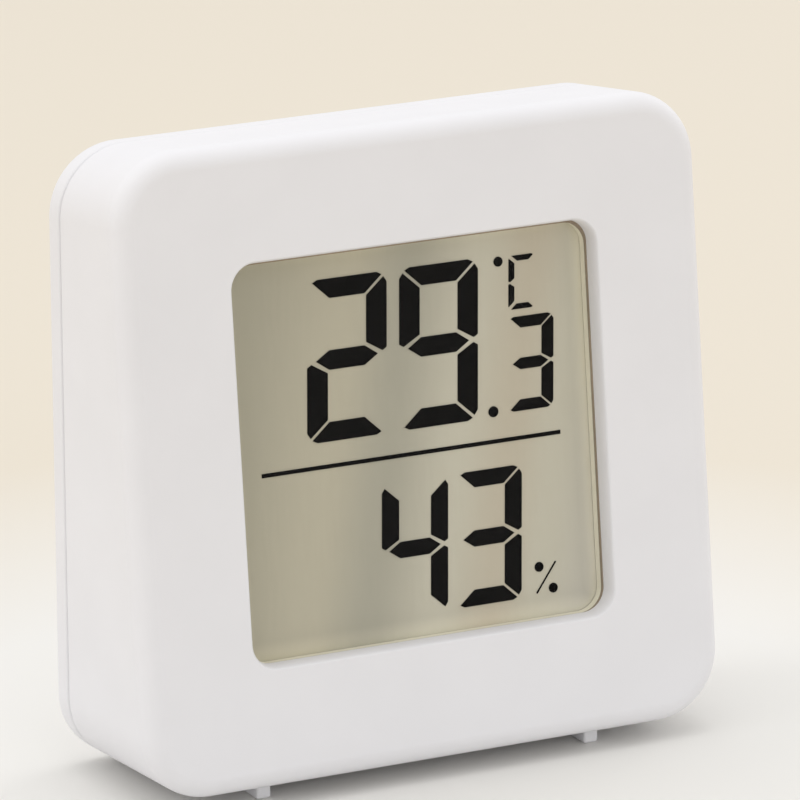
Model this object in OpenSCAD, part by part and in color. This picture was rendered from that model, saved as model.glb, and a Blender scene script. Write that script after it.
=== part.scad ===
// Desk thermometer and hygrometer with a segmented display.
// Millimetres, +Z up, the display faces -Y. The origin is on the surface that the
// feet stand on, under the middle of the whole object with its button.

/* [Body] */
// Width of the front face
face_w = 50; // [48:0.5:60]
// Height of the front face
face_h = 50; // [49:0.5:60]
// Radius of the four corners seen from the front
corner_r = 5.5; // [4.5:0.25:6.5]
// Rounding of the edge round the front face
front_fillet = 1.6; // [0.6:0.1:2.4]
// Rounding of the edge round the rear face
rear_fillet = 0.8; // [0.3:0.1:1.2]
// Depth from the middle of the front face to the rear plane
body_d = 15; // [15:0.5:20]
// Lean of the front face back from upright, in degrees
face_lean = 6.2; // [4:0.1:7]
// How much each side draws in from the front edge to the rear edge
side_taper = 0.1; // [0:0.05:0.5]
// How much the rear outline is shorter than the face, at each end
height_taper = 0.4; // [0:0.05:0.6]
// Height of the middle of the face above the middle of the rear outline
face_rise = 1.35; // [1:0.05:1.6]
// Wall of the housing
wall = 1.5; // [1.2:0.1:1.7]
// Thickness of the front panel round the window
front_wall = 1.5; // [1.2:0.1:2]

/* [Feet] */
// Distance between the middles of the two feet
foot_pitch = 28.6; // [16:0.2:34]
// Width of a foot
foot_w = 1.25; // [1:0.05:3]
// Length of a foot from front to back
foot_l = 2.6; // [1.5:0.1:5]
// Setback of a foot from the front edge
foot_setback = 0.9; // [0.5:0.1:3]
// Height of the two heel pads under the rear edge
heel_h = 0.45; // [0.2:0.05:0.6]
// Length of a heel pad along the edge
heel_l = 6; // [3:0.5:10]

/* [Display] */
// Border of the front face left and right of the window
side_border = 9.5; // [8.5:0.1:12]
// Height of the window
window_h = 31.1; // [26:0.1:32]
// Corner radius of the window
window_r = 1.9; // [1:0.1:4]
// Bevel round the window
window_bevel = 0.25; // [0.1:0.05:0.8]
// Height of the window's middle above the middle of the face
window_rise = 0.1; // [0:0.1:0.4]
// Thickness of the foam gasket behind the window
gasket_t = 0.25; // [0.15:0.05:0.4]
// Thickness of a polariser sheet
polariser_t = 0.15; // [0.1:0.05:0.25]
// Thickness of each display glass
glass_t = 0.55; // [0.4:0.05:0.7]
// Thickness of the liquid crystal layer
crystal_t = 0.05; // [0.04:0.01:0.1]
// Border of the display glass outside the window
glass_border = 1.2; // [0.8:0.1:1.4]
// Contact ledge of the front glass, above and below the rear glass
glass_ledge = 2.5; // [2.3:0.1:2.8]
// Wall of the frame round the display
frame_wall = 0.9; // [0.7:0.1:1]
// Height of the rubber contact strips from the glass to the board
strip_h = 2.6; // [2.4:0.1:2.8]
// Width of a rubber contact strip
strip_w = 2; // [1.6:0.1:2.2]

/* [Digits] */
// Height of the two temperature digits
big_digit_h = 12.6; // [10:0.1:12.8]
// Height of the two humidity digits
mid_digit_h = 10.6; // [8:0.1:11]
// Height of the tenths digit
small_digit_h = 7.4; // [5:0.1:7.6]
// Height of the unit letter
unit_h = 4.2; // [3:0.1:4.3]
// Gap between the strokes at the corners of the unit letter
letter_gap = 0.3; // [0.1:0.02:0.4]
// Slant of the digits, sideways per height
digit_slant = 0.06; // [0:0.005:0.1]
// Thickness of the line between the two readings
rule_t = 0.32; // [0.1:0.02:0.5]

/* [Rear cover] */
// Depth of the rear cover from its seam to the rear plane
cover_d = 2.5; // [2.3:0.1:3]
// Thickness of the rear plate
plate_t = 1.6; // [1.4:0.1:1.8]
// Length of the tongue that enters the housing
tongue_l = 1.2; // [0.6:0.1:1.6]
// Thickness of the tongue
tongue_t = 0.7; // [0.5:0.05:0.8]
// Seam left open between the two shells
seam_gap = 0.15; // [0.05:0.05:0.25]
// Number of vent slots
vent_n = 9; // [3:2:11]
// Width of a vent slot
vent_w = 1.2; // [0.8:0.1:1.4]
// Height of a vent slot
vent_h = 3.6; // [2:0.1:4]
// Spacing of the vent slots
vent_pitch = 2.4; // [2:0.1:2.6]
// Height of the middle of the vent slots
vent_z = 4.8; // [4.4:0.1:5]
// Radius of the round entry of the hanging hole
hang_r = 3.3; // [2.5:0.1:3.6]
// Radius of the narrow end of the hanging hole
hang_slot_r = 1.7; // [1.2:0.1:2]
// Distance from the entry to the narrow end of the hanging hole
hang_rise = 5; // [3:0.1:5.2]
// Height of the hanging hole's entry above the middle of the cover
hang_z = 12.8; // [12.6:0.1:13]
// Room for a screw head behind the rear plate
hang_room = 2.2; // [1.5:0.1:2.6]

/* [Battery] */
// Radius of the coin cell
cell_r = 10; // [8:0.1:10]
// Thickness of the coin cell
cell_t = 3.2; // [2:0.1:3.3]
// Height of the cell's middle below the middle of the cover
cell_drop = 5; // [4.8:0.1:6]
// Thickness of the door's disc
door_t = 1; // [0.8:0.1:1.2]
// Width of the rim by which the door's disc covers the ledge
door_rim = 1.3; // [1.2:0.1:1.5]
// Thickness of the ledge that the door's lugs lock under
ledge_t = 0.8; // [0.6:0.1:1]
// Thickness of a lug
lug_t = 0.7; // [0.5:0.1:0.9]
// Width of a lug
lug_w = 5; // [3:0.1:6]
// Turn of the door from locked to open, in degrees
door_turn = 60; // [45:5:75]
// Thickness of the contact metal
contact_t = 0.2; // [0.15:0.05:0.3]

/* [Button] */
// Radius of the button cap
button_r = 2.9; // [2:0.1:3]
// Height of the button above the rear plane
button_proud = 0.7; // [0.6:0.1:1.2]
// Travel of the button
button_travel = 0.5; // [0.2:0.05:0.5]
// Place of the button right of the middle of the cover
button_x = 12.5; // [12:0.1:13]
// Height of the button above the middle of the cover
button_z = 14; // [13:0.1:14.5]

/* [Board] */
// Thickness of the circuit board
board_t = 0.8; // [0.6:0.1:1]
// Height of the switch body
switch_h = 3.1; // [2.5:0.1:3.3]
// Side of the square switch body
switch_w = 6; // [5:0.1:6.2]
// Distance of the board screws above and below the middle of the board
board_screw_z = 9; // [6:0.5:11]
// Radius of the case screws' shanks
case_screw_r = 1; // [0.8:0.05:1.1]
// Radius of the case screws' heads
case_head_r = 1.9; // [1.6:0.1:2]
// Radius of the board screws' shanks
board_screw_r = 0.85; // [0.6:0.05:0.95]

/* [Fit] */
// Clearance round pieces that are dropped in
loose = 0.15; // [0.1:0.05:0.2]
// Radial clearance of the door and the button
running = 0.2; // [0.1:0.02:0.25]
// Clearance between the board and the walls
board_gap = 0.6; // [0.5:0.1:1]

/* [Hidden] */
$fn = 64;
corner_steps = 48;
fillet_steps = 6;
past = 0.2;
film = 0.01;
far = 200;
white = [0.93, 0.93, 0.92];
metal = [0.78, 0.78, 0.76];

lean_sin = sin(face_lean);
lean_cos = cos(face_lean);
rear_w = face_w - 2 * side_taper;
rear_h = face_h - 2 * height_taper;

// Middle of the rear outline, and middle of the front face
rear_z = heel_h + rear_h / 2;
face_z = rear_z + face_rise;
overhang = (face_h / 2 - front_fillet) * lean_sin + front_fillet * (1 - lean_cos);
rear_y = (body_d + overhang - button_proud) / 2;
face_y = rear_y - body_d;
seam_y = rear_y - cover_d;

// Lower front edge, where the feet hang
edge_y = face_y + front_fillet * lean_cos - face_h / 2 * lean_sin;
edge_z = face_z - front_fillet * lean_sin - face_h / 2 * lean_cos;

// Depths behind the front plane
polariser_d = front_wall + gasket_t;
glass_d = polariser_d + polariser_t;
crystal_d = glass_d + glass_t;
rear_glass_d = crystal_d + crystal_t;
reflector_d = rear_glass_d + glass_t;
board_d = crystal_d + strip_h;
board_back_d = board_d + board_t;

// Outlines of the display
window_w = face_w - 2 * side_border;
cell_w = window_w + 2 * glass_border;
cell_h = window_h + 2 * glass_border;
glass_h = cell_h + 2 * glass_ledge;
frame_w = cell_w + 2 * (loose + frame_wall);
frame_h = glass_h + 2 * (loose + frame_wall);
sheet_inset = 0.2;

// How far the gasket shows inside the window, and how far it sits below the window's middle
gasket_in = 0.09;
gasket_drop = 0.14;

// Segment outlines of a digit of height 1 about its middle
digit_w = 0.54;
bar = 0.12;
bar_in = 0.151;
bar_tip = [0.035, 0.017];
bar_round = 0.07;
post = 0.139;
post_top = 0.133;
post_low = 0.079;
post_tip = [0.0225, 0.032];
post_round = 0.065;
post_end = [0.029, 0.0155];
post_side = 0.033;
mid_in = 0.06;
mid_shoulder = 0.15;
letter_weight = 0.85;
corner_turn = 41;

// Which segments each sign lights
digit_2 = "ABGED";
digit_3 = "ABGCD";
digit_4 = "FGBC";
digit_9 = "ABFGCD";
letter_c = "AFED";

// Places of the signs from the middle of the window
big_at = [2.74, 7];
big_pitch = 7.9;
mid_at = [6.2, -8.6];
mid_pitch = 6.45;
tenths_at = [10.62, 4.6];
unit_at = [10.2, 11];
degree_at = [8.25, 12.8];
degree_r = 0.39;
point_at = [7.16, 1.13];
point_r = 0.43;
rule_margin = [2.55, 2.6];
rule_x = [rule_margin[0] - window_w / 2, window_w / 2 - rule_margin[1]];
rule_z = -1.22;
percent_at = [11, -12.54];
percent_dot = [0.575, 0.91];
slash_l = 2.94;
slash_t = 0.12;
slash_turn = 37.5;

// Circuit board and its screws
board_w = face_w - 2 * (wall + board_gap);
board_h = face_h - 2 * (wall + board_gap);
boss_r = 2;
boss_gap = 0.25;
case_inset = 5.8;
case_x = frame_w / 2 + boss_gap + boss_r;
case_z = face_h / 2 - case_inset;
notch = [for (inset = [face_w / 2 - case_x, case_inset]) inset + boss_r + 2 * board_gap];
board_boss_r = 1.8;
board_screw_x = (frame_w / 2 + face_w / 2 - wall) / 2;
board_head_r = 1.6;
board_head_h = 1;
screw_end = 0.6;
case_screw_l = body_d / 2;
case_seat = plate_t - past;
thread_gap = 0.03;
drive_d = 0.4;

// Pieces on the board
chip_r = 5;
chip_h = 1.3;
crystal_r = 1;
crystal_l = 6;
crystal_at = [-12, board_h / 4];
lead_r = 0.2;
lead_bend = 1.5;
chip_size = [1.6, 0.8, 0.8];
chip_pitch = 2.6;
sensor_z = 2;
bead_r = 1.1;
bead_out = 2.2;
sensor_w = 9;
sensor_h = 4;
sensor_t = 0.8;
sensor_out = 1.2;

// Depths in front of the rear plane, at the battery
door_seat = 0.05;
lug_gap = 0.1;
ledge_d = door_t + door_seat;
lug_d = ledge_d + ledge_t + lug_gap;
cell_d = lug_d + lug_t + door_seat;
cup_d = cell_d + cell_t + 2 * contact_t;
cup_floor = 0.8;
cell_room = 0.4;
hub_r = cell_r + cell_room;
hub_wall = 1.2;
lug_reach = 0.7;
door_r = hub_r + door_rim;
lug_room_r = hub_r + lug_reach + running;
cup_wall = 0.9;
cup_r = lug_room_r + cup_wall;
cell_z = rear_z - cell_drop;
slot_l = 13;
slot_w = 1.8;
slot_d = 0.6;
cap_share = 0.86;
cap_t = 0.35;
contact_w = 4;
contact_l = 9;
tail_w = 1.2;
tail_gap = 0.05;

// Depths in front of the rear plane, at the button
flange_rim = 1.1;
flange_r = button_r + flange_rim;
flange_t = 0.8;
stem_r = 1.4;
plunger_r = 1.5;
plunger_h = 0.6;

function board_back_y(z) = face_y + (board_back_d + (z - face_z) * lean_sin) / lean_cos;

// Places
module at_face() {
    translate([0, face_y, face_z]) rotate([-face_lean, 0, 0]) children();
}

module at_display() {
    at_face() translate([0, 0, window_rise]) children();
}

module at_rear() {
    translate([0, rear_y, rear_z]) children();
}

module at_cell() {
    translate([0, rear_y, cell_z]) children();
}

module at_button() {
    at_rear() translate([button_x, 0, button_z]) children();
}

module at_corners(w, h) {
    for (x = [-w / 2, w / 2]) for (z = [-h / 2, h / 2]) translate([x, 0, z]) children();
}

// Shapes: a rod and a plate run from depth d away from the viewer, over length l
module rod(d, l, r) {
    translate([0, d, 0]) rotate([-90, 0, 0]) cylinder(h = l, r = r);
}

module plate(d, l) {
    translate([0, d + l, 0]) rotate([90, 0, 0]) linear_extrude(l) children();
}

module rounded_rect(w, h, r) {
    square([w - 2 * r, h], center = true);
    square([w, h - 2 * r], center = true);
    for (x = [-1, 1]) for (y = [-1, 1]) translate([x * (w / 2 - r), y * (h / 2 - r)]) circle(r = r);
}

module block(w, d, h) {
    translate([-w / 2, 0, -h / 2]) cube([w, d, h]);
}

module puck(r, edge) {
    arc = [for (i = [0 : fillet_steps]) 90 * i / fillet_steps];
    rim = [for (a = arc) [r - edge + edge * sin(a), edge * (1 - cos(a))]];
    rotate_extrude($fn = corner_steps) polygon(concat([[0, 0]], rim, [[0, edge]]));
}

// The outer form of both shells, drawn in by inset all round and starting at depth d
module form(inset, d, front_edge, rear_edge) {
    r = corner_r - inset;
    hull() {
        at_face()
            at_corners(face_w - 2 * corner_r, face_h - 2 * corner_r)
                translate([0, d, 0]) rotate([-90, 0, 0]) puck(r, front_edge);
        at_rear()
            at_corners(rear_w - 2 * corner_r, rear_h - 2 * corner_r)
                rotate([90, 0, 0]) puck(r, rear_edge);
    }
}

module outer_form() {
    form(0, 0, front_fillet, rear_fillet);
}

module inner_form(inset) {
    form(inset, front_wall, rear_fillet, past);
}

module behind(y) {
    translate([-far / 2, y, -far / 2]) cube([far, far, far]);
}

module in_front_of(y) {
    translate([-far / 2, y - far, -far / 2]) cube([far, far, far]);
}

module at_case_screws() {
    at_rear() at_corners(2 * case_x, 2 * case_z) children();
}

module at_board_screws() {
    at_face() at_corners(2 * board_screw_x, 2 * board_screw_z) children();
}

// Shells
module window_cut() {
    at_display() {
        plate(-past, front_wall + 2 * past) rounded_rect(window_w, window_h, window_r);
        // a slope of 45 degrees that meets the window's wall at the depth of the bevel
        hull() {
            at_corners(window_w - 2 * window_r, window_h - 2 * window_r) {
                rod(-past, film, window_r + window_bevel + past);
                rod(window_bevel + past - film, film, window_r - past);
            }
        }
    }
}

module case_boss(side) {
    // starts in the middle of the leaning front panel and ends at the seam
    z = rear_z + side * case_z;
    start = face_y + (front_wall / 2 + (z - face_z) * lean_sin) / lean_cos;
    for (x = [-1, 1])
        translate([x * case_x, 0, z]) rod(start, seam_y - start, boss_r);
}

module foot() {
    translate([0, edge_y + foot_setback, 0])
        translate([-foot_w / 2, 0, 0]) cube([foot_w, foot_l, edge_z + wall / 2]);
}

module front_housing() {
    color(white) difference() {
        union() {
            difference() {
                outer_form();
                inner_form(wall);
                behind(seam_y);
            }
            for (side = [-1, 1]) case_boss(side);
            at_board_screws() rod(front_wall / 2, board_d - front_wall / 2, board_boss_r);
            for (x = [-1, 1]) translate([x * foot_pitch / 2, 0, 0]) foot();
        }
        window_cut();
        at_case_screws() rod(-cover_d - case_screw_l, case_screw_l + past, case_screw_r + thread_gap);
        at_board_screws() rod(front_wall + screw_end, board_d, board_screw_r + thread_gap);
    }
}

module tongue() {
    difference() {
        inner_form(wall + loose);
        inner_form(wall + loose + tongue_t);
        in_front_of(seam_y - tongue_l);
        behind(rear_y - plate_t / 2);
        at_case_screws() rod(-cover_d - tongue_l - past, tongue_l + past, boss_r + loose);
    }
}

module cover_shell() {
    difference() {
        outer_form();
        in_front_of(seam_y + seam_gap);
        difference() {
            inner_form(wall);
            behind(rear_y - plate_t);
        }
    }
}

module hang_pocket(grow) {
    r = hang_r + grow;
    hull() {
        rod(-plate_t - hang_room - grow, hang_room + 2 * grow, r);
        translate([0, 0, hang_rise]) rod(-plate_t - hang_room - grow, hang_room + 2 * grow, r);
    }
}

module hang_hole() {
    l = plate_t + past * 2;
    rod(-l + past, l, hang_r);
    translate([0, 0, hang_rise]) rod(-l + past, l, hang_slot_r);
    translate([0, -l + past, hang_rise / 2]) block(2 * hang_slot_r, l, hang_rise);
}

module heel() {
    pad_w = cover_d - rear_fillet - seam_gap;
    translate([-heel_l / 2, rear_y - rear_fillet - pad_w, 0]) cube([heel_l, pad_w, heel_h + wall / 2]);
}

module cup_bores() {
    // door seat, ledge with two notches, room for the lugs, room for the cell
    rod(-ledge_d, ledge_d + past, door_r + running);
    rod(-cell_d, cell_d, hub_r + running);
    rod(-cell_d, cell_d - ledge_d - ledge_t, lug_room_r);
    rotate([0, door_turn, 0])
        translate([0, -cell_d, 0]) block(2 * lug_room_r, cell_d, lug_w + 4 * running);
    rod(-cup_d, cup_d, cell_r + running + loose);
}

module contact_slots() {
    tail = 2 * contact_t;
    pocket_w = contact_w + 4 * loose;
    translate([cell_r + tail / 2, -cup_d, 0]) block(2 * tail + loose, cup_d - cell_d, pocket_w);
    translate([cell_r + tail / 2, -cup_d - cup_floor - past, 0])
        block(2 * tail, cup_floor + 2 * past, tail_w + 2 * loose);
    translate([-contact_l / 2 + tail, -cup_d - cup_floor - past, 0])
        block(2 * tail, cup_floor + 2 * past, tail_w + 2 * loose);
}

module rear_cover() {
    color(white) difference() {
        union() {
            cover_shell();
            tongue();
            at_case_screws() rod(-cover_d, cover_d - plate_t / 2, boss_r + wall / 2);
            at_cell() rod(-cup_d - cup_floor, cup_d + cup_floor - plate_t / 2, cup_r);
            at_rear() translate([0, 0, hang_z]) hang_pocket(frame_wall);
            for (x = [-1, 1]) translate([x * foot_pitch / 2, 0, 0]) heel();
        }
        at_case_screws() rod(-case_seat, case_seat + past, case_head_r + loose);
        at_case_screws() rod(-cover_d - past, cover_d, case_screw_r + loose);
        at_cell() cup_bores();
        at_cell() contact_slots();
        at_rear() translate([0, 0, hang_z]) hang_pocket(0);
        at_rear() translate([0, 0, hang_z]) hang_hole();
        at_button() rod(-plate_t - past, plate_t + 2 * past, button_r + running);
        for (i = [0 : vent_n - 1])
            translate([(i - (vent_n - 1) / 2) * vent_pitch, rear_y - plate_t - past, vent_z])
                block(vent_w, plate_t + 2 * past, vent_h);
    }
}

// Display
module display_gasket() {
    color([0.12, 0.12, 0.12]) at_display() difference() {
        plate(front_wall, gasket_t) square([cell_w, cell_h], center = true);
        plate(front_wall - past, gasket_t + 2 * past) translate([0, -gasket_drop])
            rounded_rect(window_w - 2 * gasket_in, window_h - 2 * gasket_in, window_r);
    }
}

module front_polariser() {
    color([0.72, 0.72, 0.62]) at_display()
        plate(polariser_d, polariser_t) square([cell_w - sheet_inset, cell_h - sheet_inset], center = true);
}

module front_glass() {
    color([0.80, 0.84, 0.80]) at_display()
        plate(glass_d, glass_t) square([cell_w, glass_h], center = true);
}

module rear_glass() {
    color([0.76, 0.80, 0.76]) at_display()
        plate(rear_glass_d, glass_t) square([cell_w, cell_h], center = true);
}

module reflector() {
    color([0.66, 0.65, 0.55]) at_display()
        plate(reflector_d, polariser_t) square([cell_w - sheet_inset, cell_h - sheet_inset], center = true);
}

// Outlines of the seven segments, for half width a and stroke weight k
function flip_x(points) = [for (p = points) [-p[0], p[1]]];
function flip_y(points) = [for (p = points) [p[0], -p[1]]];

function seg_top(a, k) = [
    [-a + bar_tip[0], 0.5 - bar_tip[1]], [-a + bar_round, 0.5],
    [a - bar_round, 0.5], [a - bar_tip[0], 0.5 - bar_tip[1]],
    [a - bar_in * k, 0.5 - bar * k], [-a + bar_in * k, 0.5 - bar * k]];
function seg_upper_right(a, k) = [
    [a - post_tip[0], 0.5 - post_tip[1]], [a, 0.5 - post_round],
    [a, post_side], [a - post_end[0], post_end[1]],
    [a - post * k, post_low], [a - post * k, 0.5 - post_top * k]];
function seg_middle(a, k) = [
    [-a + mid_in, 0], [-a + mid_shoulder, bar * k / 2], [a - mid_shoulder, bar * k / 2],
    [a - mid_in, 0], [a - mid_shoulder, -bar * k / 2], [-a + mid_shoulder, -bar * k / 2]];

function segment(name, a, k) =
    name == "A" ? seg_top(a, k) :
    name == "B" ? seg_upper_right(a, k) :
    name == "C" ? flip_y(seg_upper_right(a, k)) :
    name == "D" ? flip_y(seg_top(a, k)) :
    name == "E" ? flip_y(flip_x(seg_upper_right(a, k))) :
    name == "F" ? flip_x(seg_upper_right(a, k)) :
    seg_middle(a, k);

// One digit: the segments that it lights, its height and how heavy its strokes are
module digit(names, h, weight) {
    for (name = names)
        polygon([for (p = segment(name, digit_w / 2, weight)) [h * (p[0] + digit_slant * p[1]), h * p[1]]]);
}

// The unit letter, with wider gaps at its corners than the digits have
module unit_letter() {
    difference() {
        digit(letter_c, unit_h, letter_weight);
        for (side = [-1, 1])
            translate(unit_h / 2 * [side * digit_slant - digit_w, side])
                rotate(-side * corner_turn) square([unit_h, letter_gap], center = true);
    }
}

module marks() {
    translate(big_at - [big_pitch, 0]) digit(digit_2, big_digit_h, 1);
    translate(big_at) digit(digit_9, big_digit_h, 1);
    translate(tenths_at) digit(digit_3, small_digit_h, 1);
    translate(unit_at) unit_letter();
    translate(mid_at - [mid_pitch, 0]) digit(digit_4, mid_digit_h, 1);
    translate(mid_at) digit(digit_3, mid_digit_h, 1);
    translate(degree_at) circle(r = degree_r);
    translate(point_at) circle(r = point_r);
    translate([rule_x[0], rule_z - rule_t / 2]) square([rule_x[1] - rule_x[0], rule_t]);
    translate(percent_at) {
        rotate(-slash_turn) square([slash_t, slash_l], center = true);
        for (side = [-1, 1])
            translate([side * percent_dot[0], -side * percent_dot[1]]) circle(r = degree_r);
    }
}

module lcd_segments() {
    color([0.10, 0.10, 0.10]) at_display() plate(crystal_d, crystal_t) marks();
}

module display_frame() {
    color([0.85, 0.85, 0.83]) at_display() difference() {
        plate(front_wall, board_d - front_wall) square([frame_w, frame_h], center = true);
        plate(front_wall - past, board_d)
            square([cell_w + 2 * loose, glass_h + 2 * loose], center = true);
    }
}

module contact_strips() {
    color([0.85, 0.55, 0.62]) at_display()
        for (side = [-1, 1])
            translate([0, crystal_d, side * (glass_h - strip_w) / 2]) block(cell_w, strip_h, strip_w);
}

// Board and what is on it
module circuit_board() {
    color([0.10, 0.42, 0.24]) difference() {
        at_face() plate(board_d, board_t) {
            square([board_w, board_h - 2 * notch[1]], center = true);
            square([board_w - 2 * notch[0], board_h], center = true);
        }
        at_board_screws() rod(board_d - past, board_t + 2 * past, board_screw_r + loose);
    }
}

module on_board(x, z) {
    at_face() translate([x, board_back_d, z]) children();
}

module chip_cover() {
    ball_r = (chip_r * chip_r + chip_h * chip_h) / (2 * chip_h);
    spread = asin(chip_r / ball_r);
    arc = [for (i = [0 : fillet_steps]) spread * i / fillet_steps];
    dome = [for (a = arc) [ball_r * sin(a), chip_h - ball_r + ball_r * cos(a)]];
    color([0.06, 0.06, 0.06]) on_board(0, -cell_drop - chip_r)
        rotate([-90, 0, 0]) rotate_extrude() polygon(concat([[0, 0]], dome));
}

module clock_crystal() {
    color(metal) on_board(crystal_at[0], crystal_at[1]) {
        translate([0, crystal_r, 0]) cylinder(h = crystal_l, r = crystal_r);
        for (x = [-1, 1]) translate([x * crystal_r / 2, crystal_r, -lead_bend]) {
            cylinder(h = lead_bend + past, r = lead_r);
            rod(-crystal_r, crystal_r + lead_r, lead_r);
        }
    }
}

module chip_row(n, x, z, h) {
    on_board(x, z)
        for (i = [0 : n - 1])
            translate([0, 0, (i - (n - 1) / 2) * chip_pitch]) block(chip_size[0], h, chip_size[2]);
}

module chip_capacitors() {
    color([0.72, 0.55, 0.38]) chip_row(4, cup_r + chip_size[0] * 2, -cell_drop, chip_size[1]);
}

module chip_resistors() {
    color([0.15, 0.15, 0.16]) chip_row(5, -cup_r - chip_size[0] * 2, -cell_drop, chip_size[1] / 2);
}

module thermistor() {
    color([0.16, 0.16, 0.20]) on_board(cell_r, sensor_z - board_h / 2) {
        translate([0, bead_out, 0]) sphere(r = bead_r);
        for (x = [-1, 1]) translate([x * bead_r / 2, 0, 0]) rod(0, bead_out, lead_r);
    }
}

module humidity_sensor() {
    color([0.90, 0.88, 0.80]) on_board(-cell_r, sensor_z - board_h / 2) {
        translate([0, sensor_out, 0]) block(sensor_w, sensor_t, sensor_h);
        for (x = [-1, 1]) translate([x * sensor_w / 4, 0, 0]) rod(0, sensor_out + past, lead_r);
    }
}

// Button: the switch stands on the leaning board, the cap moves along Y
module at_switch() {
    z = rear_z + button_z;
    y = board_back_y(z);
    translate([button_x, y, z]) rotate([-face_lean, 0, 0]) children();
}

module switch_body() {
    sink = plunger_h + 2 * button_travel;
    color([0.14, 0.14, 0.15]) at_switch() difference() {
        block(switch_w, switch_h, switch_w);
        rod(switch_h - sink, sink + past, plunger_r + running);
    }
}

module switch_plunger() {
    color([0.75, 0.72, 0.66]) at_switch()
        rod(switch_h - button_travel, button_travel + plunger_h, plunger_r);
}

module unit_button() {
    top_y = board_back_y(rear_z + button_z) + (switch_h + plunger_h + loose) / lean_cos;
    flange_y = rear_y - plate_t - running / 2 - flange_t;
    color([0.88, 0.88, 0.87]) translate([button_x, 0, rear_z + button_z]) {
        rod(flange_y, rear_y + button_proud - flange_y, button_r);
        rod(flange_y, flange_t, flange_r);
        rod(top_y, flange_y - top_y + past, stem_r);
    }
}

// Battery, contacts and door
module coin_cell() {
    color(metal) at_cell() {
        rod(-cell_d - cell_t + cap_t, cell_t - cap_t, cell_r);
        rod(-cell_d - cell_t, cell_t, cell_r * cap_share);
    }
}

module tail(x) {
    end_y = board_back_y(cell_z + tail_w / 2) + tail_gap;
    top_y = rear_y - cup_d + contact_t;
    translate([x, end_y, cell_z]) block(contact_t, top_y - end_y, tail_w);
}

module battery_contact_negative() {
    color(metal) {
        at_cell() translate([0, -cup_d, 0]) {
            block(contact_l, contact_t, contact_w);
            translate([contact_l / 4, contact_t / 2, 0]) block(contact_w / 2, 1.5 * contact_t, contact_w / 2);
        }
        tail(-contact_l / 2 + 2 * contact_t);
    }
}

module battery_contact_positive() {
    leaf_h = cell_t - cap_t;
    color(metal) {
        at_cell() translate([cell_r + contact_t, -cup_d, 0]) block(contact_t, leaf_h, contact_w);
        tail(cell_r + contact_t);
    }
}

module battery_door() {
    color(white) at_cell() difference() {
        union() {
            rod(-door_t, door_t, door_r);
            difference() {
                rod(-lug_d - lug_t, lug_d + lug_t - door_t / 2, hub_r);
                rod(-lug_d - lug_t - past, lug_d + lug_t + past - door_t, hub_r - hub_wall);
            }
            intersection() {
                rod(-lug_d - lug_t, lug_t, hub_r + lug_reach);
                difference() {
                    translate([0, -lug_d - lug_t, 0]) block(far, lug_t, lug_w);
                    rod(-lug_d - lug_t - past, lug_t + 2 * past, hub_r - hub_wall / 2);
                }
            }
        }
        translate([0, -slot_d, 0]) block(slot_l, slot_d + past, slot_w);
    }
}

// Screws
module screw(head_r, head_h, r, l) {
    rod(0, head_h, head_r);
    rod(-l, l + past, r);
}

module case_screws() {
    head_h = plate_t / 2;
    color(metal) at_case_screws() difference() {
        translate([0, -case_seat, 0]) screw(case_head_r, head_h, case_screw_r, case_screw_l);
        drive(-case_seat + head_h, case_head_r, case_screw_r / 2);
    }
}

module board_screws() {
    color(metal) at_board_screws() difference() {
        translate([0, board_back_d, 0])
            screw(board_head_r, board_head_h, board_screw_r, board_back_d - front_wall - 2 * screw_end);
        drive(board_back_d + board_head_h, board_head_r, board_screw_r / 2);
    }
}

// Cross recess in the top of a screw head at depth d
module drive(d, head_r, w) {
    translate([0, d - drive_d, 0]) {
        block(head_r, drive_d + past, w);
        block(w, drive_d + past, head_r);
    }
}

front_housing();
rear_cover();
display_gasket();
front_polariser();
front_glass();
lcd_segments();
rear_glass();
reflector();
display_frame();
contact_strips();
circuit_board();
chip_cover();
clock_crystal();
chip_capacitors();
chip_resistors();
thermistor();
humidity_sensor();
switch_body();
switch_plunger();
unit_button();
coin_cell();
battery_contact_negative();
battery_contact_positive();
battery_door();
case_screws();
board_screws();
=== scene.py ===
import math

import bmesh
import bpy
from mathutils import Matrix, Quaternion, Vector
from mathutils.geometry import delaunay_2d_cdt


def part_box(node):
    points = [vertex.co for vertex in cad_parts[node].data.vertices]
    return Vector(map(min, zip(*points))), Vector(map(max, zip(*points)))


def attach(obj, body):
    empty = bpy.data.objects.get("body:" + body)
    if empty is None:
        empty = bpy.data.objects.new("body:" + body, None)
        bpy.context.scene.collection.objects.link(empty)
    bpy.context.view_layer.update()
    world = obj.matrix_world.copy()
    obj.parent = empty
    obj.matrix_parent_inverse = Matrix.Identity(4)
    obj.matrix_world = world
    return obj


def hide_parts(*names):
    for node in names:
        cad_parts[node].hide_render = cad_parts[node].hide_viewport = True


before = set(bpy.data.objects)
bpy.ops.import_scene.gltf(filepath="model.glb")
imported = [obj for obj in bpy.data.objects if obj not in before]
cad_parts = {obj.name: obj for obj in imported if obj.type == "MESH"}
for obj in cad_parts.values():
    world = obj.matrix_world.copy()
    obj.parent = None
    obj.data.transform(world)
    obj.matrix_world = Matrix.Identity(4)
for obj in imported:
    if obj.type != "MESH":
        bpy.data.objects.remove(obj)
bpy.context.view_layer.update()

MM = 0.001


def box_mm(node):
    """Lowest and highest corner of a solid, in millimetres."""
    low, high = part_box(node)
    return low / MM, high / MM


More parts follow.
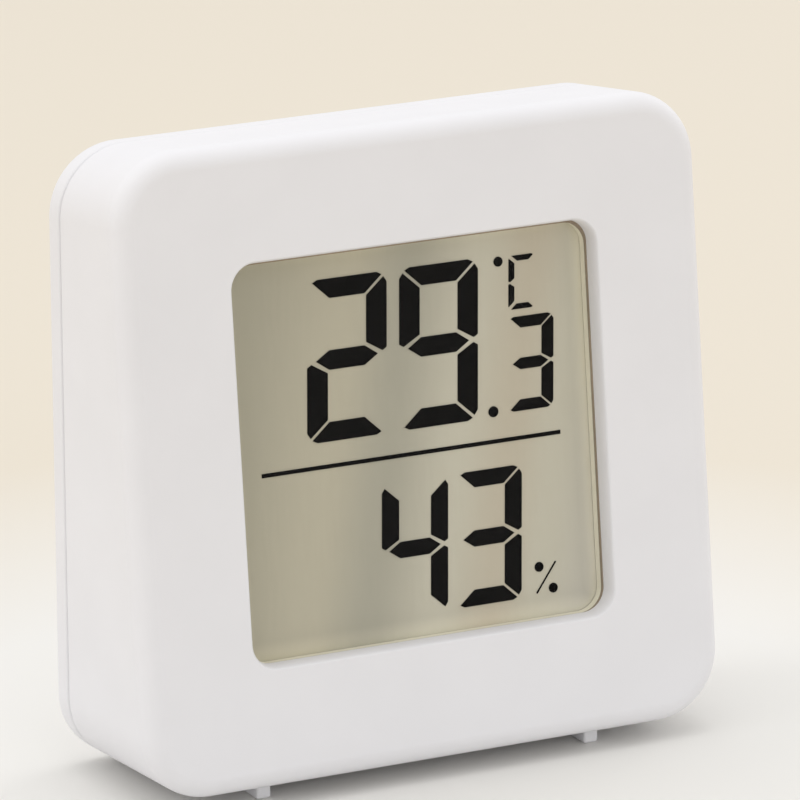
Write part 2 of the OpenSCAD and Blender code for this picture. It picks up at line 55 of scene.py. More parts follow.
# Sizes of the shells in millimetres, as in the solids
housing_low, housing_high = box_mm("front_housing")
cover_high = box_mm("rear_cover")[1]
face_w = housing_high.x - housing_low.x
face_h = 50.0
corner_r = 5.5
front_fillet = 1.6
rear_fillet = 0.8
body_d = 15.0
face_lean = math.radians(6.2)
face_rise = 1.35
side_taper = 0.1
height_taper = 0.4
rear_w = face_w - 2 * side_taper
rear_h = face_h - 2 * height_taper
heel_h = 0.45
wall = 1.5
front_wall = 1.5
seam_gap = 0.15
plate_t = 1.6
cover_d = 2.5
tongue_t = 0.7
tongue_l = 1.2
loose = 0.15
running = 0.2
rear_y = cover_high.y
rear_z = heel_h + rear_h / 2
face_y = rear_y - body_d
face_z = rear_z + face_rise
seam_y = housing_high.y

# Window and display
window_w = 31.0
window_h = 31.1
window_r = 1.9
window_rise = 0.1
window_z = face_z + window_rise
lip_w = 0.32
lip_d = 1.2
glass_border = 1.2
glass_ledge = 2.5
film_inset = 0.1
film_d = 1.75
glass_d = 1.9
crystal_d = 2.45
glass_gap = 0.01
gasket_in = 0.09
gasket_drop = 0.14
mask_t = 0.1

# Feet and heels
foot_x = 14.3
foot_w = 1.25
foot_l = 2.6
foot_setback = 0.9
heel_l = 6.0
heel_w = cover_d - rear_fillet - seam_gap
edge_y = face_y + front_fillet * math.cos(face_lean) - face_h / 2 * math.sin(face_lean)
edge_z = face_z - front_fillet * math.sin(face_lean) - face_h / 2 * math.cos(face_lean)
foot_y = edge_y + foot_setback + foot_l / 2
heel_y = rear_y - rear_fillet - heel_w / 2

# Rear cover
vent_n = 9
vent_w = 1.2
vent_h = 3.6
vent_r = 0.3
vent_pitch = 2.4
vent_z = 4.8
hang_up = 12.8
hang_z = rear_z + hang_up
hang_r = 3.3
hang_slot_r = 1.7
hang_rise = 5.0
hang_room = 2.2
pocket_wall = 0.9

# Case screws and their bosses
screw_x = 20.0
screw_z = 19.2
screw_r = 1.0
bore_d = 9.2
head_r = 1.9
head_seat = 1.4
boss_r = 2.0
cover_boss_r = 2.3

# Battery door and its cup
door_low, door_high = box_mm("battery_door")
door_z = (door_low.z + door_high.z) / 2
door_r = (door_high.x - door_low.x) / 2
door_t = 1.0
hub_r = 10.4
hub_wall = 1.2
ledge_d = 1.05
ledge_t = 0.8
lug_d = 1.95
lug_t = 0.7
lug_w = 5.0
lug_reach = 0.7
cell_d = 2.7
cell_bore_r = 10.35
cup_d = 6.3
cup_r = 12.2
cup_floor = 0.8
slot_l = 13.0
slot_w = 1.8
slot_d = 0.6
slot_end_r = 0.89

# Marks for the door's two places: a pointer on the door, a dot and a ring on the cover
mark_angle = 30.0
mark_out = 1.7
mark_r = 0.75
mark_bore = 0.42
mark_rise = 0.2
mark_edge = 0.07
mark_sink = 0.02
pointer_in = 0.9
pointer_l = 2.3
pointer_w = 1.5
pointer_side_draw = 1.5
pointer_tip_draw = 2.0

# Button
button_low, button_high = box_mm("unit_button")
button_x = (button_low.x + button_high.x) / 2
button_z = (button_low.z + button_high.z) / 2
button_r = 2.9
button_proud = button_high.y - rear_y
button_dish = 0.18
flange_r = 4.0
flange_d = 1.7
flange_t = 0.8
stem_r = 1.4

# Small roundings that moulded edges have
seam_r = 0.28
seam_depth = 0.32
seam_touch = 0.01
rim_r = 0.16
button_edge = 0.3
foot_edge = 0.22

# Steps in curves, and how faces are filled and shaded
CORNER_STEPS = 16
SMALL_STEPS = 4
EDGE_STEPS = 12
DISH_STEPS = 8
CIRCLE_STEPS = 64
ARC_STEPS = 6
INSIDE = 1
SAME_POINT = 1e-6
SMOOTH_UP_TO = math.radians(35)


# Outlines: lists of (across, up) points, counter-clockwise
def quarter(steps=ARC_STEPS):
    """Angles of a quarter turn from 0 to 90 degrees."""
    return [math.pi / 2 * i / steps for i in range(steps + 1)]


def rounded_rect(w, h, r, steps=CORNER_STEPS):
    """A rectangle about the origin with corners of radius r."""
    points = []
    for turn, (sx, sz) in enumerate(((1, -1), (1, 1), (-1, 1), (-1, -1))):
        for a in quarter(steps):
            angle = a + (turn - 1) * math.pi / 2
            x = sx * (w / 2 - r) + r * math.cos(angle)
            z = sz * (h / 2 - r) + r * math.sin(angle)
            points.append((x, z))
    return points


def arc(r, start, end, steps, x=0.0, z=0.0):
    """Points on a circle of radius r from angle start to angle end, in degrees."""
    angles = [math.radians(start + (end - start) * i / steps) for i in range(steps + 1)]
    return [(x + r * math.cos(a), z + r * math.sin(a)) for a in angles]


def circle(r):
    return arc(r, 0, 360, CIRCLE_STEPS)[:-1]


def stadium(r):
    """The two ends of the hanging hole, joined: the pocket behind it."""
    return arc(r, 180, 360, CIRCLE_STEPS // 2) + arc(r, 0, 180, CIRCLE_STEPS // 2, z=hang_rise)


def keyhole(grow):
    """The hanging hole: a round entry with a narrower slot above it."""
    big = hang_r + grow
    small = hang_slot_r + grow
    meet = math.degrees(math.acos(small / big))
    entry = arc(big, 180 - meet, 360 + meet, CIRCLE_STEPS)
    return entry + arc(small, 0, 180, CIRCLE_STEPS // 2, z=hang_rise)


def within(point, outline):
    """Whether a flat point lies within an outline of flat points."""
    crossings = 0
    for a, b in zip(outline, outline[1:] + outline[:1]):
        if (a.y > point.y) != (b.y > point.y):
            crossings += point.x < a.x + (point.y - a.y) * (b.x - a.x) / (b.y - a.y)
    return crossings % 2 == 1


# Rings: outlines placed on the object
def face_points(outline, depth, rise=0.0):
    """An outline on the leaning front, at a depth behind the front plane."""
    sin = math.sin(face_lean)
    cos = math.cos(face_lean)
    return [
        (x, face_y + depth * cos + (z + rise) * sin, face_z - depth * sin + (z + rise) * cos)
        for x, z in outline
    ]


def rear_points(outline, depth, x=0.0, z=rear_z):
    """An outline on the rear, at a depth in front of the rear plane."""
    return [(x + px, rear_y - depth, z + pz) for px, pz in outline]


def window_ring(grow, depth):
    outline = rounded_rect(window_w + 2 * grow, window_h + 2 * grow, window_r + grow)
    return face_points(outline, depth, window_rise)


def face_ring(inset, depth):
    return face_points(rounded_rect(face_w - 2 * inset, face_h - 2 * inset, corner_r - inset), depth)


def rear_ring(inset, depth):
    return rear_points(rounded_rect(rear_w - 2 * inset, rear_h - 2 * inset, corner_r - inset), depth)


def wall_ring(inset, y):
    """Where the drafted side wall, drawn in by inset, crosses the plane at y."""
    points = []
    for front, rear in zip(face_ring(inset, front_fillet), rear_ring(inset, rear_fillet)):
        share = (y - front[1]) / (rear[1] - front[1])
        points.append(tuple(a + share * (b - a) for a, b in zip(front, rear)))
    return points


class Shell:
    """Collects rings of points in millimetres and joins them into one closed mesh."""

    def __init__(self):
        self.points = []
        self.faces = []

    def ring(self, points):
        start = len(self.points)
        self.points.extend(points)
        return list(range(start, len(self.points)))

    def bridge(self, a, b):
        for i in range(len(a)):
            j = (i + 1) % len(a)
            self.faces.append((a[i], a[j], b[j], b[i]))

    def loft(self, rings, closed=False):
        """Joins rings one after the other and returns the first and the last."""
        rows = [self.ring(points) for points in rings]
        for a, b in zip(rows, rows[1:]):
            self.bridge(a, b)
        if closed:
            self.bridge(rows[-1], rows[0])
        return rows[0], rows[-1]

    def cap(self, ring):
        self.faces.append(tuple(ring))

    def solid(self, rings):
        """A closed form: rings with a cap at each end."""
        first, last = self.loft(rings)
        self.cap(first)
        self.cap(last)

    def fill(self, outer, holes):
        """Triangles between an outer ring and the rings of holes in it, in one plane square to Y."""
        loops = [outer, *holes]
        index = [i for loop in loops for i in loop]
        flat = [Vector((self.points[i][0], self.points[i][2])) for i in index]
        edges = []
        for loop in loops:
            start = len(edges)
            edges += [(start + i, start + (i + 1) % len(loop)) for i in range(len(loop))]
        spots, _, triangles, sources, _, _ = delaunay_2d_cdt(flat, edges, [], INSIDE, SAME_POINT)
        origin = [index[source[0]] for source in sources]
        outlines = [[Vector((self.points[i][0], self.points[i][2])) for i in hole] for hole in holes]
        for face in triangles:
            centre = sum((spots[i] for i in face), Vector((0, 0))) / len(face)
            if not any(within(centre, outline) for outline in outlines):
                self.faces.append(tuple(origin[i] for i in face))


def turned(profile, x, z):
    """Rings of a turned form on the rear: (radius, depth) pairs about an axis along Y."""
    return [rear_points(circle(r), d, x, z) for r, d in profile]


def rim(outline, r, x, z):
    """Rings of a hole's rounded rim: outline is a function of how far the hole grows."""
    return [
        rear_points(outline(r * (1 - math.sin(a))), r * (1 - math.cos(a)), x, z)
        for a in quarter(SMALL_STEPS)
    ]


def pad(shell, width, length, top, x, y):
    """A small standing block with rounded edges about (x, y), from the floor up to top."""
    edge = foot_edge

    def ring(inset, z):
        outline = rounded_rect(width - 2 * inset, length - 2 * inset, edge - inset / 2, SMALL_STEPS)
        return [(x + px, y + py, z) for px, py in outline]

    low = [ring(edge * (1 - math.sin(a)), edge * (1 - math.cos(a))) for a in quarter(SMALL_STEPS)]
    shell.solid(low + [ring(0, top)])


# Front housing
def case_boss(shell, x, side):
    """A screw boss from the leaning front panel to the seam, with its bore."""
    z = rear_z + side * screw_z
    depth_at_seam = rear_y - seam_y
    start = face_y + (front_wall / 2 + (z - face_z) * math.sin(face_lean)) / math.cos(face_lean)
    profile = (
        (boss_r, rear_y - start), (boss_r, depth_at_seam),
        (screw_r, depth_at_seam), (screw_r, bore_d),
    )
    shell.solid(turned(profile, x, z))


def front_shell():
    shell = Shell()
    rings = [window_ring(0, front_wall)]
    rings += [
        window_ring(lip_w * (1 - math.cos(a)), lip_d * (1 - math.sin(a)))
        for a in quarter(EDGE_STEPS)
    ]
    rings += [
        face_ring(front_fillet * (1 - math.sin(a)), front_fillet * (1 - math.cos(a)))
        for a in quarter(EDGE_STEPS)
    ]
    rings += [
        wall_ring(seam_r * (1 - math.cos(a)), seam_y - seam_r * (1 - math.sin(a)))
        for a in quarter(SMALL_STEPS)
    ]
    rings += [wall_ring(wall, seam_y)]
    rings += [
        face_ring(wall + rear_fillet * (1 - math.cos(a)), front_wall + rear_fillet * (1 - math.sin(a)))
        for a in quarter()
    ]
    shell.loft(rings, closed=True)
    for x in (-1, 1):
        pad(shell, foot_w, foot_l, edge_z + wall / 2, x * foot_x, foot_y)
        for side in (-1, 1):
            case_boss(shell, x * screw_x, side)
    return shell


# Display: the front glass with its polariser bonded on
def display_sheet():
    shell = Shell()
    glass_w = window_w + 2 * glass_border
    glass_h = window_h + 2 * (glass_border + glass_ledge)
    film_w = glass_w - 2 * film_inset
    film_h = window_h + 2 * (glass_border - film_inset)
    glass = rounded_rect(glass_w, glass_h, film_inset, SMALL_STEPS)
    film = rounded_rect(film_w, film_h, film_inset, SMALL_STEPS)
    steps = ((glass, crystal_d - glass_gap), (glass, glass_d), (film, glass_d), (film, film_d))
    shell.solid([face_points(outline, depth, window_rise) for outline, depth in steps])
    return shell


def painted_light_ring():
    """The ring between the gasket and the display's back, in the display's lit tone: painted light over
    the shade under the window's edge.
    """
    shell = Shell()

    def ring(grow, depth):
        outline = rounded_rect(window_w + 2 * grow, window_h + 2 * grow, window_r + grow + gasket_in)
        return face_points(outline, depth, window_rise - gasket_drop)

    inner = -gasket_in
    outer = mask_t - gasket_in
    back = crystal_d - glass_gap
    corners = ((inner, film_d), (inner, back), (outer, back), (outer, film_d))
    shell.loft([ring(grow, depth) for grow, depth in corners], closed=True)
    return shell


# Rear cover
def rear_shell():
    shell = Shell()
    seam = seam_y + seam_gap
    inside_y = rear_y - plate_t
    groove = wall + loose
    rings = [
        wall_ring(groove + tongue_t, inside_y),
        wall_ring(groove + tongue_t, seam_y - tongue_l),
        wall_ring(groove, seam_y - tongue_l),
        wall_ring(groove, inside_y),
        wall_ring(wall, inside_y),
        wall_ring(wall, seam_y + seam_touch),
        wall_ring(seam_depth, seam_y + seam_touch),
        wall_ring(seam_depth, seam),
    ]
    rings += [
        wall_ring(seam_r * (1 - math.sin(a)), seam + seam_r * (1 - math.cos(a)))
        for a in quarter(SMALL_STEPS)
    ]
    rings += [
        rear_ring(rear_fillet * (1 - math.cos(a)), rear_fillet * (1 - math.sin(a)))
        for a in quarter()
    ]
    inside, outside = shell.loft(rings)
    outer_holes = []
    inner_holes = []

    def through(rings):
        first, last = shell.loft(rings)
        outer_holes.append(first)
        inner_holes.append(last)

    def vent(grow):
        return rounded_rect(vent_w + 2 * grow, vent_h + 2 * grow, vent_r + grow, SMALL_STEPS)

    for i in range(vent_n):
        x = (i - (vent_n - 1) / 2) * vent_pitch
        through(rim(vent, rim_r, x, vent_z) + [rear_points(vent(0), plate_t, x, vent_z)])

    def button_hole(grow):
        return circle(button_r + running + grow)

    at = (button_x, button_z)
    through(rim(button_hole, rim_r, *at) + [rear_points(button_hole(0), plate_t, *at)])

    def head_hole(grow):
        return circle(head_r + loose + grow)

    for x in (-screw_x, screw_x):
        for z in (rear_z - screw_z, rear_z + screw_z):
            boss = (
                (head_r + loose, head_seat), (screw_r + loose, head_seat), (screw_r + loose, cover_d),
                (cover_boss_r, cover_d), (cover_boss_r, plate_t),
            )
            through(rim(head_hole, rim_r, x, z) + turned(boss, x, z))

    # door seat, ledge, room for the lugs and the cell, and the cup round them
    def seat_hole(grow):
        return circle(door_r + running + grow)

    lug_room_r = hub_r + lug_reach + running
    cup = (
        (door_r + running, ledge_d), (hub_r + running, ledge_d), (hub_r + running, ledge_d + ledge_t),
        (lug_room_r, ledge_d + ledge_t), (lug_room_r, cell_d), (cell_bore_r, cell_d), (cell_bore_r, cup_d),
    )
    first, last = shell.loft(rim(seat_hole, rim_r, 0, door_z) + turned(cup, 0, door_z))
    outer_holes.append(first)
    shell.cap(last)
    first, last = shell.loft(turned(((cup_r, plate_t), (cup_r, cup_d + cup_floor)), 0, door_z))
    inner_holes.append(first)
    shell.cap(last)

    # hanging hole and the pocket behind it
    hole = rim(keyhole, rim_r, 0, hang_z) + [rear_points(keyhole(0), plate_t, 0, hang_z)]
    first, last = shell.loft(hole)
    outer_holes.append(first)
    room = stadium(hang_r + loose)
    room_depths = (plate_t, plate_t + hang_room)
    roof, floor = shell.loft([rear_points(room, d, 0, hang_z) for d in room_depths])
    shell.fill(roof, [last])
    shell.cap(floor)
    pocket = stadium(hang_r + pocket_wall)
    pocket_depths = (plate_t, plate_t + hang_room + pocket_wall)
    first, last = shell.loft([rear_points(pocket, d, 0, hang_z) for d in pocket_depths])
    inner_holes.append(first)
    shell.cap(last)

    shell.fill(outside, outer_holes)
    shell.fill(inside, inner_holes)
    for x in (-foot_x, foot_x):
        pad(shell, heel_l, heel_w, heel_h + wall / 2, x, heel_y)
    return shell


# Battery door
def door_shell():
    shell = Shell()

    def coin_slot(grow):
        return rounded_rect(slot_l + 2 * grow, slot_w + 2 * grow, slot_end_r + grow, SMALL_STEPS)

    edge = [
        (door_r - rim_r * (1 - math.sin(a)), rim_r * (1 - math.cos(a)))
        for a in quarter(SMALL_STEPS)
    ]
    hub = [
        (door_r, door_t), (hub_r, door_t), (hub_r, lug_d + lug_t),
        (hub_r - hub_wall, lug_d + lug_t), (hub_r - hub_wall, door_t),
    ]
    outside, inside = shell.loft(turned(edge + hub, 0, door_z))
    shell.cap(inside)
    slot_rings = rim(coin_slot, rim_r, 0, door_z) + [rear_points(coin_slot(0), slot_d, 0, door_z)]
    slot, floor = shell.loft(slot_rings)
    shell.cap(floor)
    shell.fill(outside, [slot])
    outer_r = hub_r + lug_reach
    inner_r = hub_r - hub_wall / 2
    half_outer = math.degrees(math.asin(lug_w / 2 / outer_r))
    half_inner = math.degrees(math.asin(lug_w / 2 / inner_r))
    for turn in (0, 180):
        outline = arc(outer_r, turn - half_outer, turn + half_outer, ARC_STEPS)
        outline += arc(inner_r, turn + half_inner, turn - half_inner, ARC_STEPS)
        shell.solid([rear_points(outline, d, 0, door_z) for d in (lug_d, lug_d + lug_t)])
    return shell


# Marks of the door's locked and open places
def mark_steps():
    """Pairs of inset and depth, from just under the surface to the top of a raised mark."""
    return ((0, mark_sink), (0, mark_edge - mark_rise), (mark_edge, -mark_rise))


def door_pointer():
    shell = Shell()
    tip = door_r - pointer_in
    angle = math.radians(90 + mark_angle)
    across = Vector((-math.sin(angle), math.cos(angle)))
    out = Vector((math.cos(angle), math.sin(angle)))

    def outline(inset):
        base = tip - pointer_l + inset
        half = pointer_w / 2 - pointer_side_draw * inset
        point = out * (tip - pointer_tip_draw * inset)
        corners = (across * half + out * base, point, out * base - across * half)
        return [tuple(corner) for corner in corners]

    shell.solid([rear_points(outline(inset), depth, 0, door_z) for inset, depth in mark_steps()])
    return shell


def lock_marks():
    shell = Shell()
    reach = door_r + mark_out

    def at(side):
        angle = math.radians(mark_angle)
        return side * reach * math.sin(angle), door_z + reach * math.cos(angle)

    outer = [(mark_r - inset, depth) for inset, depth in mark_steps()]
    inner = [(mark_bore + inset, depth) for inset, depth in reversed(mark_steps())]
    shell.solid(turned(outer, *at(-1)))
    shell.loft(turned(outer + inner, *at(1)), closed=True)
    return shell


# Button
def button_cap():
    shell = Shell()
    flat_r = button_r - button_edge
    shares = [k / DISH_STEPS for k in range(1, DISH_STEPS)]
    dish = [(flat_r * k, -button_proud + button_dish * (1 - k ** 2)) for k in shares]
    edge = [
        (button_r - button_edge * (1 - math.sin(a)), -button_proud + button_edge * (1 - math.cos(a)))
        for a in quarter()
    ]
    lower = [
        (button_r, flange_d), (flange_r, flange_d), (flange_r, flange_d + flange_t),
        (stem_r, flange_d + flange_t), (stem_r, rear_y - button_low.y),
    ]
    shell.solid(turned(dish + edge + lower, button_x, button_z))
    return shell


# Materials: scales in waves per metre, depths in metres, and how far tones and gloss vary
CLOUD_SCALE = 140.0
GLOSS_SCALE = 600.0
LINE_SCALE = 900.0
SMEAR_SCALE = 260.0
FIBRE_SCALE = 2600.0
FINE_DEPTH = 0.00001
GLOSS_SPREAD = 0.05
SMEAR_SPREAD = 0.06
LINE_DARK = 0.82
GRAIN_BUMP = 0.25
LINE_BUMP = 0.15
FIBRE_BUMP = 0.05


class Recipe:
    """A node material under construction: one Principled shader with what feeds it."""

    def __init__(self, name):
        self.material = bpy.data.materials.new(name)
        self.material.use_nodes = True
        self.tree = self.material.node_tree
        self.shader = self.tree.nodes["Principled BSDF"]
        self.coords = self.add("TexCoord").outputs["Object"]

    def add(self, kind, inputs=None, **settings):
        node = self.tree.nodes.new("ShaderNode" + kind)
        for key, value in settings.items():
            setattr(node, key, value)
        for key, value in (inputs or {}).items():
            node.inputs[key].default_value = value
        return node

    def link(self, source, target):
        self.tree.links.new(source, target)

    def set(self, **values):
        """Constants on the shader's sockets, with the sockets' names in small letters."""
        for key, value in values.items():
            socket = key.replace("_", " ").title().replace("Ior", "IOR")
            self.shader.inputs[socket].default_value = value

    def noise(self, scale, detail=2.0, stretch=None):
        """A noise whose scale is in waves per metre; stretch multiplies the coordinates."""
        node = self.add("TexNoise", {"Scale": scale, "Detail": detail})
        source = self.coords
        if stretch:
            mapping = self.add("Mapping", {"Scale": stretch})
            self.link(source, mapping.inputs["Vector"])
            source = mapping.outputs["Vector"]
        self.link(source, node.inputs["Vector"])
        return node.outputs["Fac"]

    def span(self, value, low, high):
        """The value, from 0 to 1, spread over low to high."""
        node = self.add("MapRange", {"To Min": low, "To Max": high})
        self.link(value, node.inputs["Value"])
        return node.outputs["Result"]

    def ramp(self, value, stops):
        """A colour ramp: stops are (place, colour) pairs."""
        node = self.add("ValToRGB")
        elements = node.color_ramp.elements
        while len(elements) < len(stops):
            elements.new(0.5)
        for element, (place, colour) in zip(elements, stops):
            element.position = place
            element.color = (*colour, 1.0)
        self.link(value, node.inputs["Fac"])
        return node.outputs["Color"]

    def bump(self, height, strength, distance):
        node = self.add("Bump", {"Strength": strength, "Distance": distance})
        self.link(height, node.inputs["Height"])
        self.link(node.outputs["Normal"], self.shader.inputs["Normal"])


def shade(colour, factor):
    """The colour, darker or lighter by a factor."""
    return tuple(min(1.0, c * factor) for c in colour)


def moulded(name, colour, roughness, mottle, grain=9000.0, depth=FINE_DEPTH, specular=0.5):
    """A moulded or plain surface: faint mottling, uneven gloss and a fine grain."""
    recipe = Recipe(name)
    cloud = recipe.noise(CLOUD_SCALE, 3.0)
    dark = shade(colour, 1 - mottle)
    light = shade(colour, 1 + mottle)
    tone = recipe.ramp(cloud, ((0.3, dark), (0.7, light)))
    recipe.link(tone, recipe.shader.inputs["Base Color"])
    fine = recipe.noise(grain)
    uneven = recipe.noise(GLOSS_SCALE)
    gloss = recipe.span(uneven, roughness - GLOSS_SPREAD, roughness + GLOSS_SPREAD)
    recipe.link(gloss, recipe.shader.inputs["Roughness"])
    recipe.bump(fine, GRAIN_BUMP, depth)
    recipe.set(specular_ior_level=specular)
    return recipe.material


def brushed(name, colour, roughness, stretch):
    """Metal with fine lines across one direction."""
    recipe = Recipe(name)
    lines = recipe.noise(LINE_SCALE, 4.0, stretch)
    tone = recipe.ramp(lines, ((0.25, shade(colour, LINE_DARK)), (0.75, colour)))
    recipe.link(tone, recipe.shader.inputs["Base Color"])
    gloss = recipe.span(lines, roughness - 0.08, roughness + 0.12)
    recipe.link(gloss, recipe.shader.inputs["Roughness"])
    recipe.bump(lines, LINE_BUMP, FINE_DEPTH)
    recipe.set(metallic=1.0)
    return recipe.material


def clear_sheet(name, roughness, haze):
    """A clear sheet with a faint satin reflection, so that what lies behind it keeps its place."""
    recipe = Recipe(name)
    smear = recipe.span(recipe.noise(SMEAR_SCALE, 3.0), roughness, roughness + SMEAR_SPREAD)
    recipe.link(smear, recipe.shader.inputs["Roughness"])
    recipe.set(base_color=(0.02, 0.02, 0.02, 1.0), alpha=haze)
    return recipe.material


def display_back(name):
    """The silvery olive film behind the display, with broad slanting streaks that are a painted
    reflection.
    """
    recipe = Recipe(name)
    reflection_lean = -0.19
    painted_reflection_left = -0.021
    painted_reflection_right = 0.013
    skew = recipe.add("VectorMath", {1: (1.0, 0.0, reflection_lean)}, operation="DOT_PRODUCT")
    recipe.link(recipe.coords, skew.inputs[0])
    place = recipe.add("MapRange", {"From Min": painted_reflection_left, "From Max": painted_reflection_right})
    recipe.link(skew.outputs["Value"], place.inputs["Value"])
    # tones of the film's own olive, with the painted reflection streaks that run across it
    dim = (0.43, 0.408, 0.318)
    olive = (0.53, 0.498, 0.386)
    grey = (0.438, 0.422, 0.342)
    pale = (0.604, 0.58, 0.474)
    warm = (0.572, 0.522, 0.412)
    soft_warm = (0.592, 0.57, 0.49)
    stops = (
        (0.0, dim), (0.265, olive), (0.412, grey), (0.594, pale),
        (0.729, warm), (0.847, pale), (0.985, soft_warm),
    )
    tone = recipe.ramp(place.outputs["Result"], stops)
    recipe.tree.nodes["Color Ramp"].color_ramp.interpolation = "EASE"
    fibres = recipe.noise(FIBRE_SCALE, 3.0, (1.0, 1.0, 0.02))
    fibre_share = 0.04
    fibre_tone = recipe.ramp(fibres, ((0.3, (0.3,) * 3), (0.7, (0.7,) * 3)))
    soft = recipe.add("Mix", {"Factor": fibre_share}, data_type="RGBA", blend_type="OVERLAY")
    recipe.link(tone, soft.inputs["A"])
    recipe.link(fibre_tone, soft.inputs["B"])
    # the film is painted paler close to the window's edge: painted light that offsets the shade of the
    # recess
    painted_light_width = 0.0014
    painted_edge_light = 1.3
    half_window = (window_w / 2 * MM, 0.0, window_h / 2 * MM)
    centred = recipe.add("VectorMath", {1: (0.0, 0.0, window_z * MM)}, operation="SUBTRACT")
    recipe.link(recipe.coords, centred.inputs[0])
    apart = recipe.add("VectorMath", operation="ABSOLUTE")
    recipe.link(centred.outputs["Vector"], apart.inputs[0])
    room = recipe.add("VectorMath", {0: half_window}, operation="SUBTRACT")
    recipe.link(apart.outputs["Vector"], room.inputs[1])
    sides = recipe.add("SeparateXYZ")
    recipe.link(room.outputs["Vector"], sides.inputs["Vector"])
    nearest = recipe.add("Math", operation="MINIMUM")
    recipe.link(sides.outputs["X"], nearest.inputs[0])
    recipe.link(sides.outputs["Z"], nearest.inputs[1])
    painted_light_range = {"From Max": painted_light_width, "To Min": painted_edge_light, "To Max": 1.0}
    painted_light = recipe.add("MapRange", painted_light_range, interpolation_type="SMOOTHSTEP")
    recipe.link(nearest.outputs["Value"], painted_light.inputs["Value"])
    tone_with_painted_light = recipe.add("VectorMath", operation="SCALE")
    recipe.link(soft.outputs["Result"], tone_with_painted_light.inputs[0])
    recipe.link(painted_light.outputs["Result"], tone_with_painted_light.inputs["Scale"])
    recipe.link(tone_with_painted_light.outputs["Vector"], recipe.shader.inputs["Base Color"])
    gloss = recipe.span(fibres, 0.36, 0.44)
    recipe.link(gloss, recipe.shader.inputs["Roughness"])
    recipe.bump(fibres, FIBRE_BUMP, FINE_DEPTH)
    recipe.set(metallic=0.25)
    return recipe.material


white = (0.803, 0.799, 0.826)
materials = {
    "housing": moulded("white_abs", white, 0.55, 0.012, specular=0.3),
    "cover": moulded("white_abs_cover", shade(white, 0.995), 0.55, 0.012, specular=0.3),
    "door": moulded("white_abs_door", shade(white, 0.985), 0.55, 0.012, specular=0.3),
    "button": moulded("grey_white_button", shade(white, 0.94), 0.5, 0.015, specular=0.3),
    "foam": moulded("brown_foam", (0.3, 0.245, 0.18), 0.9, 0.15, 5000.0, 0.00005),
    "segment": moulded("dark_segments", (0.006, 0.0057, 0.0057), 0.7, 0.05, specular=0.05),
    "glass": clear_sheet("display_glass", 0.2, 0.03),
    "reflector": display_back("reflector_film"),
    # the display's lit tone, painted light over the shade under the window's edge
    "painted_lit_tone": moulded("painted_light_ring", (0.84, 0.805, 0.67), 0.5, 0.02),
    "frame": moulded("frame_plastic", (0.62, 0.62, 0.6), 0.5, 0.02),
    "rubber": moulded("strip_rubber", (0.6, 0.26, 0.32), 0.7, 0.1),
    "board": moulded("green_board", (0.02, 0.16, 0.06), 0.35, 0.2, 3000.0),
    "resin": moulded("black_resin", (0.012, 0.012, 0.012), 0.22, 0.3, 1500.0),
    "capacitor": moulded("capacitor_body", (0.45, 0.27, 0.12), 0.4, 0.1),
    "resistor": moulded("resistor_body", (0.02, 0.02, 0.022), 0.35, 0.2),
    "bead": moulded("bead_resin", (0.02, 0.02, 0.03), 0.25, 0.2),
    "plate": moulded("sensor_plate", (0.72, 0.68, 0.55), 0.5, 0.06),
    "switch": moulded("switch_plastic", (0.02, 0.02, 0.022), 0.4, 0.2),
    "plunger": moulded("plunger_plastic", (0.48, 0.44, 0.37), 0.45, 0.05),
    "plated": brushed("plated_metal", (0.72, 0.71, 0.69), 0.3, (1.0, 1.0, 0.05)),
    "cell": brushed("cell_metal", (0.76, 0.75, 0.73), 0.28, (0.05, 1.0, 1.0)),
    "contact": brushed("contact_metal", (0.74, 0.72, 0.66), 0.25, (1.0, 1.0, 0.05)),
    "screw": brushed("screw_metal", (0.66, 0.66, 0.65), 0.32, (1.0, 1.0, 0.1)),
}

# Solids that keep their shape, and the finish that each takes
finishes = {
    "display_gasket": "foam",
    "lcd_segments": "segment",
    "rear_glass": "reflector",
    "reflector": "reflector",
    "display_frame": "frame",
    "contact_strips": "rubber",
    "circuit_board": "board",
    "chip_cover": "resin",
    "clock_crystal": "plated",
    "chip_capacitors": "capacitor",
    "chip_resistors": "resistor",
    "thermistor": "bead",
    "humidity_sensor": "plate",
    "switch_body": "switch",
    "switch_plunger": "plunger",
    "coin_cell": "cell",
    "battery_contact_negative": "contact",
    "battery_contact_positive": "contact",
    "case_screws": "screw",
    "board_screws": "screw",
}
for node, finish in finishes.items():
    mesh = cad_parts[node].data
    mesh.materials.clear()
    mesh.materials.append(materials[finish])


# Pieces that replace the plain shells or add to them
def add_piece(name, shell, body, nodes, finish):
    mesh = bpy.data.meshes.new(name)
    mesh.from_pydata([Vector(p) * MM for p in shell.points], [], shell.faces)
    shape = bmesh.new()
    shape.from_mesh(mesh)
    bmesh.ops.recalc_face_normals(shape, faces=shape.faces)
    shape.to_mesh(mesh)
    shape.free()
    mesh.polygons.foreach_set("use_smooth", [True] * len(mesh.polygons))
    mesh.set_sharp_from_angle(angle=SMOOTH_UP_TO)
    mesh.materials.append(materials[finish])
    piece = bpy.data.objects.new(name, mesh)
    bpy.context.scene.collection.objects.link(piece)
    normals = piece.modifiers.new("even_normals", "WEIGHTED_NORMAL")
    normals.keep_sharp = True
    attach(piece, body)
    if nodes:
        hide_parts(*nodes)


add_piece("front_shell", front_shell(), "housing", ["front_housing"], "housing")
display_nodes = ["front_polariser", "front_glass"]
add_piece("display_sheet", display_sheet(), "housing", display_nodes, "glass")
# a ring in the display's lit tone, painted light that hides the shade under the window's edge
add_piece("painted_light_ring", painted_light_ring(), "housing", [], "painted_lit_tone")
add_piece("rear_shell", rear_shell(), "housing", ["rear_cover"], "cover")
add_piece("door_shell", door_shell(), "door", ["battery_door"], "door")
add_piece("door_pointer", door_pointer(), "door", [], "door")
add_piece("lock_marks", lock_marks(), "housing", [], "cover")
add_piece("button_cap", button_cap(), "button", ["unit_button"], "button")


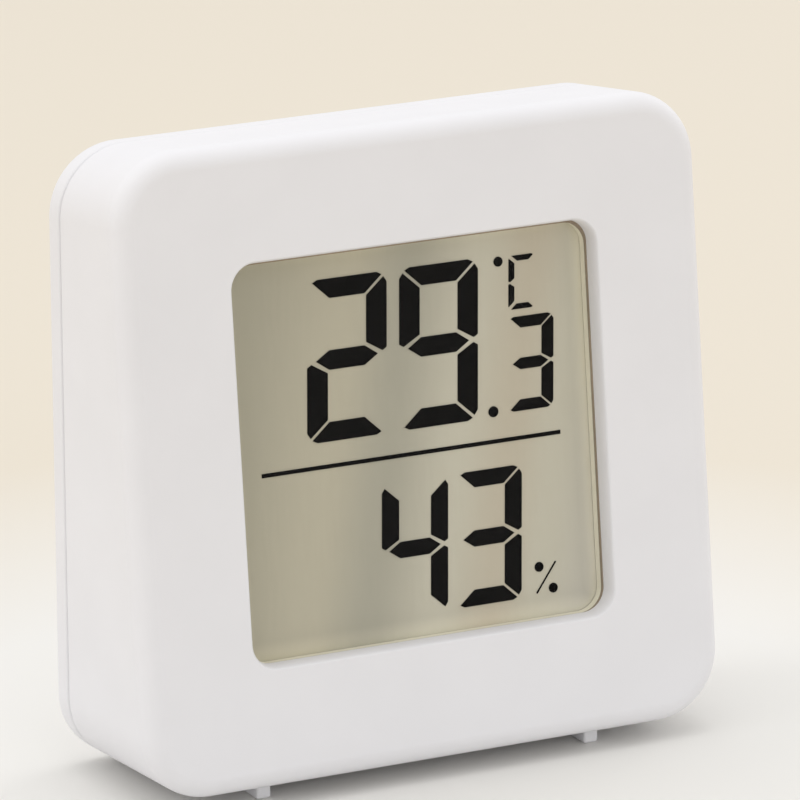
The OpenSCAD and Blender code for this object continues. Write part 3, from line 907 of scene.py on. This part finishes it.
# Floor, in metres: a wide plane that is palest round the object
def add_floor():
    half = 3.0
    tone_reach = 0.2
    near = (0.79, 0.78, 0.755)
    far = (0.735, 0.675, 0.575)
    corners = ((-half, -half, 0), (half, -half, 0), (half, half, 0), (-half, half, 0))
    mesh = bpy.data.meshes.new("floor")
    mesh.from_pydata(corners, [], [(0, 1, 2, 3)])
    recipe = Recipe("pale_floor")
    length = recipe.add("VectorMath", operation="LENGTH")
    recipe.link(recipe.coords, length.inputs[0])
    spread = recipe.add("MapRange", {"From Max": tone_reach})
    recipe.link(length.outputs["Value"], spread.inputs["Value"])
    tone = recipe.ramp(spread.outputs["Result"], ((0.2, near), (0.42, far)))
    recipe.link(tone, recipe.shader.inputs["Base Color"])
    recipe.set(roughness=0.75)
    mesh.materials.append(recipe.material)
    floor = bpy.data.objects.new("floor", mesh)
    bpy.context.scene.collection.objects.link(floor)


# Light: soft boxes overhead, at both sides and in front, and an even surround
middle = Vector((0.0, 0.0, face_z * MM))
surround_colour = (1.0, 0.99, 0.975, 1.0)
surround_strength = 0.78


def add_soft_box(name, place, size, watts):
    light = bpy.data.lights.new(name, "AREA")
    light.shape = "SQUARE"
    light.size = size
    light.energy = watts
    lamp = bpy.data.objects.new(name, light)
    lamp.location = place
    lamp.rotation_mode = "QUATERNION"
    lamp.rotation_quaternion = (middle - Vector(place)).to_track_quat("-Z", "Y")
    bpy.context.scene.collection.objects.link(lamp)


def add_surround():
    world = bpy.data.worlds.new("surround")
    world.use_nodes = True
    shader = world.node_tree.nodes["Background"]
    shader.inputs["Color"].default_value = surround_colour
    shader.inputs["Strength"].default_value = surround_strength
    bpy.context.scene.world = world


# Camera at the photograph's angle
def add_camera():
    azimuth = math.radians(-26.91)
    elevation = math.radians(16.01)
    roll = math.radians(-0.343)
    target = Vector((1.184, 0.219, 28.048)) * MM
    distance = 570.09 * MM
    back = Vector((
        math.sin(azimuth) * math.cos(elevation),
        -math.cos(azimuth) * math.cos(elevation),
        math.sin(elevation),
    ))
    data = bpy.data.cameras.new("camera")
    data.sensor_width = 36.0
    data.lens = 330.65
    data.clip_start = 0.05
    data.clip_end = 20.0
    camera = bpy.data.objects.new("camera", data)
    camera.location = target + back * distance
    camera.rotation_mode = "QUATERNION"
    camera.rotation_quaternion = (-back).to_track_quat("-Z", "Y") @ Quaternion((0, 0, 1), roll)
    bpy.context.scene.collection.objects.link(camera)
    bpy.context.scene.camera = camera


add_floor()
add_soft_box("overhead", place=(-0.05, 0.05, 0.8), size=0.7, watts=1.91)
add_soft_box("left_side", place=(-0.7, 0.2, 0.35), size=0.5, watts=1.09)
add_soft_box("right_side", place=(0.7, 0.2, 0.35), size=0.5, watts=1.0)
add_soft_box("front", place=(0.0, -0.9, 0.25), size=0.6, watts=0.83)
add_surround()
add_camera()
bpy.context.scene.view_settings.view_transform = "Standard"
